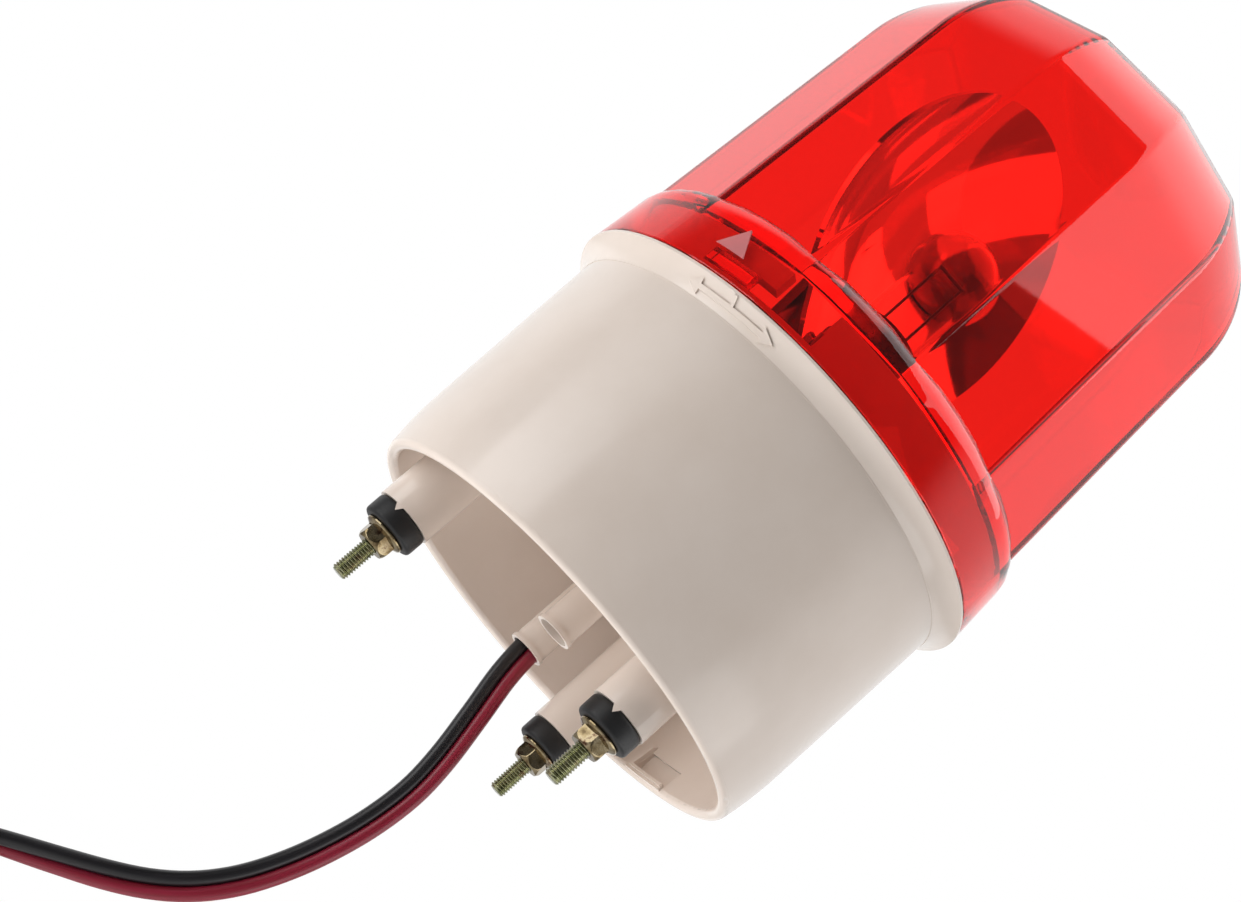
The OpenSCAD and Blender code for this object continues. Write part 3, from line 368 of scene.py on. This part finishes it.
def smooth_line(points, twists, step):
    """The line as a Catmull-Rom curve with points about step mm apart: between two points, the cubic whose
    slope at each is half the way from the point before it to the point after it."""
    p = np.concatenate([2 * points[:1] - points[1:2], points, 2 * points[-1:] - points[-2:-1]])
    n = np.maximum(np.round(np.linalg.norm(np.diff(points, axis=0), axis=1) / step).astype(int), 1)
    i = np.repeat(np.arange(len(n)), n)
    t = (np.arange(len(i)) - np.repeat(np.cumsum(n) - n, n)) / n[i]
    i, t = np.append(i, len(n) - 1), np.append(t, 1.0)[:, None]
    a, b, c, d = p[i], p[i + 1], p[i + 2], p[i + 3]
    line = 0.5 * (2 * b + (c - a) * t + (2 * a - 5 * b + 4 * c - d) * t ** 2
                  + (3 * b - a - 3 * c + d) * t ** 3)
    return line, twists[i] * (1 - t[:, 0]) + twists[i + 1] * t[:, 0]


def core(line, twist, side, sides):
    """One core of the twin lead: a circle of the lead's thickness, carried along the line beside its middle.
    Across is the sideways normal in the plane of the route, turned about the line by the twist."""
    ahead = np.gradient(line, axis=0)
    ahead /= np.linalg.norm(ahead, axis=1)[:, None]
    depth = np.array([0.0, 1.0, 0.0]) - ahead * ahead[:, 1:2]
    depth /= np.linalg.norm(depth, axis=1)[:, None]
    flat = np.cross(depth, ahead)
    c, s = np.cos(np.radians(twist))[:, None], np.sin(np.radians(twist))[:, None]
    across, up = -flat * c + depth * s, depth * c + flat * s
    middle = (line + side * (LEAD_W - LEAD_T) / 2 * across)[:, None]
    a = np.arange(sides)[:, None] / sides * TURN
    rings = middle + LEAD_T / 2 * (np.cos(a) * across[:, None] + np.sin(a) * up[:, None])
    rows = np.concatenate([middle[:1].repeat(sides, 1), rings, middle[-1:].repeat(sides, 1)])
    return rows, capped_faces(len(rows), sides)


def twin(name, line, twist, sides=16):
    """Both cores in one piece, crimson on one side and black on the other, with a UV map of the turn round
    the core and the metres along it."""
    shells = [core(line, twist, side, sides) for side in (1, -1)]
    made = piece(name, shells, PVC_CRIMSON, "base", 60)
    made.data.materials.append(PVC_BLACK)
    along = np.concatenate([[0], np.cumsum(np.linalg.norm(np.diff(line, axis=0), axis=1))]) * MM
    rows = np.concatenate([[0], along, [along[-1]]])
    per_core = len(rows) * sides
    vertex = np.zeros(len(made.data.loops), np.int32)
    made.data.loops.foreach_get("vertex_index", vertex)
    uv = np.stack([(vertex % sides) / sides, rows[(vertex % per_core) // sides]], -1)
    made.data.uv_layers.new(name="along").data.foreach_set("uv", uv.astype(np.float32).ravel())
    first = np.zeros(len(made.data.polygons), np.int32)
    made.data.polygons.foreach_get("loop_start", first)
    made.data.polygons.foreach_set("material_index", (vertex[first] >= per_core).astype(np.int32))
    return made


lead_points, lead_twists = lead_line()
inner_line, inner_twist = smooth_line(lead_points[:FREE_FROM + 1], lead_twists[:FREE_FROM + 1], LEAD_STEP)
free_line, free_twist = smooth_line(lead_points[FREE_FROM:], lead_twists[FREE_FROM:], LEAD_STEP)
lead_inner = twin("lead_inside", inner_line, inner_twist)
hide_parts("lead")
twin_lead = twin("twin_lead", free_line, free_twist)
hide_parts("lead", "lead_coil")


# Lens

def outline(bend_steps=6):
    """A rounded twelve-sided outline as two vectors for each column: a point of the polygon of apothem 1,
    and a unit normal. With apothem a and bend radius b, the outline is (a - b) times the point plus b times
    the normal. Each flat has two columns close to its ends, so that it shades flat."""
    half = math.pi / FACETS
    u = np.tan(half) * np.array([-1, -0.985, -0.5, 0, 0.5, 0.985, 1])
    bend = np.linspace(0, 2 * half, bend_steps + 1)[1:-1]
    facing = np.radians(FACET_ANGLE) + half + 2 * half * np.arange(FACETS)[:, None]
    c, s = np.cos(facing), np.sin(facing)
    flat_point = np.stack([c - s * u, s + c * u], -1)
    flat_normal = np.stack([c + 0 * u, s + 0 * u], -1)
    corner = np.repeat(flat_point[:, -1:], len(bend), 1)
    bend_normal = np.stack([np.cos(facing + bend), np.sin(facing + bend)], -1)
    point = np.concatenate([flat_point, corner], 1).reshape(-1, 2)
    normal = np.concatenate([flat_normal, bend_normal], 1).reshape(-1, 2)
    return point, normal


def dome_rows(inset, z_low, straight=10, bend=14, edge=8):
    """Apothem and height up one facet: a drafted straight, an arc, and a rounded edge to the flat top.
    The inner rows keep the outer rows' centres, so the wall has one thickness."""
    slope = math.tan(DOME_DRAFT)
    a_bend = DOME_R * math.cos(math.pi / FACETS) - slope * (DOME_BEND_Z - COLLAR_Z)
    cx = a_bend - DOME_BEND_R * math.cos(DOME_DRAFT)
    cz = DOME_BEND_Z - DOME_BEND_R * math.sin(DOME_DRAFT)
    ez = DOME_TOP_Z - LENS_BEND
    ex = cx + math.sqrt((DOME_BEND_R - LENS_BEND) ** 2 - (ez - cz) ** 2)
    meet = math.atan2(ez - cz, ex - cx)
    t, e = np.linspace(DOME_DRAFT, meet, bend), np.linspace(meet, math.pi / 2, edge)[1:]
    z = np.linspace(z_low, DOME_BEND_Z, straight)[:-1]
    r, b = DOME_BEND_R - inset, LENS_BEND - inset
    apothem = [a_bend - inset + slope * (DOME_BEND_Z - z), cx + r * np.cos(t), ex + b * np.cos(e)]
    return np.concatenate(apothem), np.concatenate([z, cz + r * np.sin(t), ez + b * np.sin(e)])


def lens_shell(flat_rows=5, side_rows=12, shoulder_rows=9):
    """The lens as one closed surface: down the outside from the middle of the top, round the foot and up the
    inside. Outside, each column of the dome runs down to where it meets the collar's rounded shoulder: the
    angle on the shoulder's arc at which both have the same radius, found by repeated steps."""
    point, normal = outline()

    def ring(a, inset=0.0):
        return (np.reshape(a, (-1, 1)) - LENS_BEND + inset) * point + (LENS_BEND - inset) * normal

    def level(z):
        return np.full(len(point), z)

    slope, foot_a = math.tan(DOME_DRAFT), DOME_R * math.cos(math.pi / FACETS)
    centre_r = COLLAR_TOP_R - COLLAR_ROUND
    meet = np.full(len(point), math.radians(50))
    for _ in range(30):
        r = np.linalg.norm(ring(foot_a - slope * COLLAR_ROUND * np.sin(meet)), axis=1)
        meet = np.arccos(np.clip((r - centre_r) / COLLAR_ROUND, -1, 1))
    meet_z = COLLAR_Z + COLLAR_ROUND * np.sin(meet)
    a_up, z_up = dome_rows(0, COLLAR_Z)
    straight = np.searchsorted(z_up, DOME_BEND_Z - 0.01)
    top_share = np.linspace(0, 1, flat_rows)[:-1]
    rows = [(share * ring(a_up[-1]), level(DOME_TOP_Z)) for share in top_share]
    rows += [(ring(a), level(z)) for a, z in zip(a_up[straight:][::-1], z_up[straight:][::-1])]
    for share in np.linspace(0, 1, side_rows)[1:]:
        z = DOME_BEND_Z + (meet_z - DOME_BEND_Z) * share
        rows.append((ring(foot_a - slope * (z - COLLAR_Z)), z))
    spoke = rows[-1][0] / np.linalg.norm(rows[-1][0], axis=1)[:, None]
    for share in np.linspace(0, 1, shoulder_rows)[1:]:
        t = meet * (1 - share)
        r = centre_r + COLLAR_ROUND * np.cos(t)
        rows.append((r[:, None] * spoke, COLLAR_Z + COLLAR_ROUND * np.sin(t)))
    inner_z = COLLAR_Z - LENS_STEP
    side = rounded([(COLLAR_TOP_R, COLLAR_Z), (COLLAR_R, LENS_FOOT_Z), (COLLAR_BORE_R, LENS_FOOT_Z),
                    (COLLAR_BORE_R, inner_z)], LENS_EDGE)
    rows += [(r * spoke, level(z)) for r, z in side[1:]]
    a_in, z_in = dome_rows(LENS_WALL, inner_z)
    rows += [(ring(a, LENS_WALL), level(z)) for a, z in zip(a_in, z_in)]
    inner_top = ring(a_in[-1], LENS_WALL)
    rows += [(share * inner_top, level(DOME_TOP_Z - LENS_WALL)) for share in top_share[::-1]]
    points = np.stack([np.concatenate([xy, z[:, None]], 1) for xy, z in rows]) + (0, 0, RIM_Z)
    return points, capped_faces(len(rows), len(point))[:, ::-1]


def lens_lug(middle, steps=12):
    """A bayonet lug: a rectangle of radius and height carried along an arc, with both ends filled."""
    a = np.radians(np.linspace(middle - LUG_WIDTH / 2, middle + LUG_WIDTH / 2, steps))[:, None]
    outer = COLLAR_BORE_R + LUG_SINK
    r = np.array([LUG_R, outer, outer, LUG_R])
    z = RIM_Z + LUG_Z + np.array([0, 0, LUG_H, LUG_H])
    points = np.stack([np.cos(a) * r, np.sin(a) * r, z + 0 * a], -1)
    last = 4 * (steps - 1)
    ends = np.array([[3, 2, 1, 0], [last, last + 1, last + 2, last + 3]])
    return points, np.concatenate([grid_faces(steps, 4), ends])[:, ::-1]


def lens_mark(steps=9):
    """The triangle raised on the collar: a grid whose rows shrink to the tip, wrapped round the axis, with
    an outer face on one radius, an inner face just off the drafted collar, and a closed edge."""
    u, v = np.meshgrid(np.linspace(-0.5, 0.5, steps), np.linspace(0, 1, steps))
    a = np.radians(MARK_ANGLE) + u * (1 - v) * MARK_W / COLLAR_R
    z = MARK_Z + v * MARK_H
    draft = (COLLAR_R - COLLAR_TOP_R) / (COLLAR_Z - LENS_FOOT_Z)
    collar = COLLAR_R - draft * (z - LENS_FOOT_Z)
    outer = COLLAR_R - draft * (MARK_Z + MARK_H / 2 - LENS_FOOT_Z) + MARK_RAISE
    faces = [np.stack([r * np.cos(a), r * np.sin(a), z + RIM_Z], -1) for r in (outer, collar + MARK_GAP)]
    count = steps * steps
    i = np.arange(count).reshape(steps, steps)
    i[-1] = i[-1, 0]
    grid = i.ravel()[grid_faces(steps, steps, wrap=False)]
    edge = np.concatenate([i[0], i[1:, -1], i[-2:0:-1, 0]])
    after = np.roll(edge, -1)
    wall = np.stack([edge, edge + count, after + count, after], -1)
    return np.stack(faces), np.concatenate([grid, count + grid[:, ::-1], wall])


lugs = [lens_lug(LUG_ANGLE + 360 / LUGS * k) for k in range(LUGS)]
piece("lens_red", [lens_shell()] + lugs, RED_LENS, "lens_cover", 28, ("lens",))
piece("lens_mark", [lens_mark()], RED_ETCHED, "lens_cover", 28, ("lens",))


# Reflector

def dish(spokes=180, steps=26, tries=800):
    """A paraboloid about a level axis, with depth h^2/(4 focal) - focal at distance h from the axis, a wall
    and a rim. Along each spoke it ends at the rim or at the upright cylinder cut for the bulb, whichever
    comes first."""
    a = np.arange(spokes) / spokes * TURN
    h = np.linspace(0, DISH_R, tries)[:, None]
    depth = h ** 2 / (4 * DISH_FOCAL) - DISH_FOCAL
    cut = (depth ** 2 + (h * np.cos(a)) ** 2 < DISH_NOTCH_R ** 2) & (h * np.sin(a) < 0)
    reach = np.where(cut.any(0), h[np.argmax(cut, 0), 0], DISH_R)
    h = np.sqrt(np.linspace(0, 1, steps))[:, None] * reach
    front = np.stack([h ** 2 / (4 * DISH_FOCAL) - DISH_FOCAL, h * np.cos(a), h * np.sin(a)], -1)
    points = np.concatenate([front, front[::-1] - (DISH_WALL, 0, 0)])
    return turned(points, DISH_FACING) + (0, 0, RIM_Z + DISH_Z), capped_faces(2 * steps, spokes)


def stem_bar(half_t, top_z):
    """A closed straight bar of the stem's width, from the stem's foot to top_z, turned with the dish."""
    x = STEM_X + half_t * np.array([-1, 1, 1, -1])
    y = STEM_W / 2 * np.array([-1, -1, 1, 1])
    z = RIM_Z + np.array([[STEM_FOOT_Z], [top_z]])
    points = np.stack(np.broadcast_arrays(x, y, z), -1)
    return turned(points, DISH_FACING), np.concatenate([grid_faces(2, 4), [[3, 2, 1, 0], [4, 5, 6, 7]]])


stem = stem_bar(STEM_T / 2, STEM_TOP_Z)
foot = stem_bar(STEM_FOOT, STEM_FOOT_Z + STEM_FOOT_H)
piece("reflector_dish", [dish(), stem, foot], MIRROR, "rotor", 35, ("reflector",))


# Studs, nuts and grommets

def threaded_stud(place, sides=40, rows_a_pitch=10):
    """A stud with a rolled thread: its radius falls from crest to root with a clipped triangle wave of the
    height in pitches minus the turn. Above the nut it is a plain shank with a round head."""
    share = np.arange(sides) / sides
    z = np.arange(-STUD_FREE, NUT_H, THREAD_PITCH / rows_a_pitch)[:, None]
    wave = np.abs(((z / THREAD_PITCH - share) % 1) * 2 - 1)
    thread = STUD_D / 2 - THREAD_DEPTH * np.clip(THREAD_FLANK * (1 - wave) - THREAD_CREST, 0, 1)
    thread = np.minimum(thread, STUD_D / 2 - STUD_TIP + (z + STUD_FREE) * STUD_TIP_SLOPE)
    end = np.array([(0, -STUD_FREE)])
    top_z = STUD_HEAD_Z + STUD_HEAD_H
    above = np.array([(STUD_SHANK_D / 2, NUT_H), (STUD_SHANK_D / 2, STUD_HEAD_Z),
                      (STUD_HEAD_D / 2, STUD_HEAD_Z), (STUD_HEAD_D / 2, top_z), (0, top_z)])
    r = np.concatenate([end[:, :1].repeat(sides, 1), thread, above[:, :1].repeat(sides, 1)])
    h = np.concatenate([end[:, 1:], z, above[:, 1:]])
    return around(place, r, h, sides), capped_faces(len(r), sides)


def flange_nut(place, degrees, sides=144):
    """A six-sided nut with chamfered corners on a round flange: the outline is the smaller of the hexagon
    and a cone that opens from the outer face."""
    a = np.arange(sides) / sides * TURN
    hexagon = NUT_AF / 2 / np.cos((a - math.radians(degrees)) % (TURN / 6) - TURN / 12)
    ledge_z = NUT_H - FLANGE_T
    chamfer, flat = np.linspace(0, NUT_CHAMFER_H, 9), np.linspace(NUT_CHAMFER_H, ledge_z, 6)[1:]
    z = np.concatenate([chamfer, flat])[:, None]
    body = np.minimum(hexagon, NUT_AF / 2 - NUT_CHAMFER_IN + z * NUT_CHAMFER_SLOPE)
    flange = rounded([(NUT_AF / 2 + FLANGE_LEDGE, ledge_z - FLANGE_DROP),
                      (FLANGE_D / 2, ledge_z + FLANGE_RISE), (FLANGE_D / 2, NUT_H),
                      (NUT_INNER_R, NUT_H)], FLANGE_EDGE)
    mouth = np.array([(NUT_BORE_R, NUT_MOUTH_H), (NUT_MOUTH_R, 0.0)])
    r = np.concatenate([mouth[:, :1].repeat(sides, 1), body, flange[:, :1].repeat(sides, 1)])
    h = np.concatenate([mouth[:, 1:], z, flange[:, 1:]])
    return around(place, r, h, sides), ring_faces(len(r), sides)


def grommet(place, sides=72):
    """A rubber grommet: a closed profile, a disc with rounded edges under the boss and a neck inside it,
    carried round the stud."""
    bore, r, neck = STUD_SHANK_D / 2, GROMMET_D / 2, GROMMET_NECK_D / 2
    disc_z = NUT_H + GROMMET_H
    neck_z = disc_z + GROMMET_NECK_H
    profile = rounded([(bore, NUT_H), (r, NUT_H), (r, disc_z), (neck, disc_z), (neck, neck_z),
                       (bore, neck_z)], GROMMET_EDGE)
    return around(place, profile[:, :1], profile[:, 1:], sides), ring_faces(len(profile), sides)


stud_places = [(STUD_CIRCLE_R * math.cos(math.radians(a)), STUD_CIRCLE_R * math.sin(math.radians(a)))
               for a in STUD_ANGLES]
studs = [threaded_stud(place) for place in stud_places]
nuts = [flange_nut(place, degrees) for place, degrees in zip(stud_places, NUT_TURNS)]
grommets = [grommet(place) for place in stud_places]
piece("studs_threaded", studs, YELLOW_ZINC, "base", 50, ("mounting_studs",))
piece("nuts_flanged", nuts, ROSE_ZINC, "base", 30, ("flange_nuts",))
piece("grommets_rounded", grommets, RUBBER, "base", 40, ("grommets",))


# Studio

def studio_world():
    """A world that is white to the camera and in metal and glass. Where a mirror is on the way, it fades to
    a dark room in front of the object, by the dot product of the direction with the room's. All other light
    from it is low and even."""
    world = bpy.data.worlds.new("studio")
    world.use_nodes = True
    tree = world.node_tree
    tree.nodes.clear()
    path = add(tree, "LightPath").outputs
    direction = add(tree, "TexCoord").outputs["Generated"]
    towards = add(tree, "VectorMath", {0: direction, 1: ROOM_TOWARDS}, operation="DOT_PRODUCT")
    front = add(tree, "MapRange", {"Value": towards.outputs["Value"], "From Min": ROOM_FADE[0],
                                   "From Max": ROOM_FADE[1]}, interpolation_type="SMOOTHSTEP")
    shown = add(tree, "Math", {0: path["Is Glossy Ray"], 1: path["Is Transmission Ray"]}, operation="MAXIMUM")
    dark = add(tree, "Math", {0: path["Is Glossy Ray"], 1: ROOM_DARKER, 2: ROOM_DARK},
               operation="MULTIPLY_ADD")
    mirrored = add(tree, "Math", {0: path["Glossy Depth"], 1: 1.0}, operation="MINIMUM")
    dark = add(tree, "Math", {0: dark.outputs[0], 1: mirrored.outputs[0]}, operation="MULTIPLY")
    room = add(tree, "Math", {0: front.outputs["Result"], 1: dark.outputs[0]}, operation="MULTIPLY")
    room = add(tree, "Math", {0: 1.0, 1: room.outputs[0]}, operation="SUBTRACT")
    level = add(tree, "Mix", {"Factor": shown.outputs[0], "A": EVEN_LIGHT, "B": room.outputs[0]})
    level = add(tree, "Math", {0: path["Is Camera Ray"], 1: level.outputs[0]}, operation="MAXIMUM")
    sweep = add(tree, "Background", {"Color": linear("#FFFFFF"), "Strength": level.outputs[0]})
    add(tree, "OutputWorld", {"Surface": sweep.outputs[0]})
    bpy.context.scene.world = world


def studio_lamp(name, azimuth, height, far, size, power):
    """A square area lamp that faces the object. No lamp stands in a view, and those that only fill the shade
    aren't mirrored either."""
    a, h = math.radians(azimuth), math.radians(height)
    back = np.array([math.cos(h) * math.cos(a), math.cos(h) * math.sin(a), math.sin(h)])
    side = np.cross([0, 0, 1.0], back)
    side /= np.linalg.norm(side)
    place = far * back + (0, 0, LAMP_AIM_Z * MM)
    turn = np.stack([side, np.cross(back, side), back, place], -1)
    data = bpy.data.lights.new(name, "AREA")
    data.size, data.energy = size, power
    lamp = bpy.data.objects.new(name, data)
    lamp.visible_camera, lamp.visible_glossy = False, not name.endswith("fill")
    bpy.context.scene.collection.objects.link(lamp)
    lamp.matrix_world = Matrix(turn.tolist() + [[0, 0, 0, 1]])


def studio_floor():
    """A flat square floor. The lamps shine on the object, so the floor gets a white of its own, to the camera
    and in metal and glass, as the world does."""
    made, tree, shader = finish("Paper, matt white", {
        "Base Color": linear("#F4F3F1"), "Roughness": 0.9, "Emission Color": linear("#FFFFFF")})
    path = add(tree, "LightPath").outputs
    shown = add(tree, "Math", {0: path["Is Glossy Ray"], 1: path["Is Transmission Ray"]}, operation="MAXIMUM")
    shown = add(tree, "Math", {0: shown.outputs[0], 1: FLOOR_WHITE_SHOWN}, operation="MULTIPLY")
    white = add(tree, "Math", {0: path["Is Camera Ray"], 1: FLOOR_WHITE, 2: shown.outputs[0]},
                operation="MULTIPLY_ADD")
    tree.links.new(white.outputs[0], shader.inputs["Emission Strength"])
    corners = np.array([(-1, -1), (1, -1), (1, 1), (-1, 1)]) * FLOOR_HALF
    mesh = bpy.data.meshes.new("floor")
    mesh.from_pydata([(x * MM, y * MM, FLOOR_Z * MM) for x, y in corners], [], [(0, 1, 2, 3)])
    mesh.materials.append(made)
    floor = bpy.data.objects.new("floor", mesh)
    bpy.context.scene.collection.objects.link(floor)


bpy.context.scene.view_settings.view_transform = "Standard"
# Light that runs along inside the lens's wall turns more often than the usual limits allow
cycles = bpy.context.scene.cycles
cycles.max_bounces = 32
cycles.glossy_bounces = 24
cycles.transmission_bounces = 24
studio_world()
for lamp_name, values in LAMPS.items():
    studio_lamp(lamp_name, *values)
studio_floor()
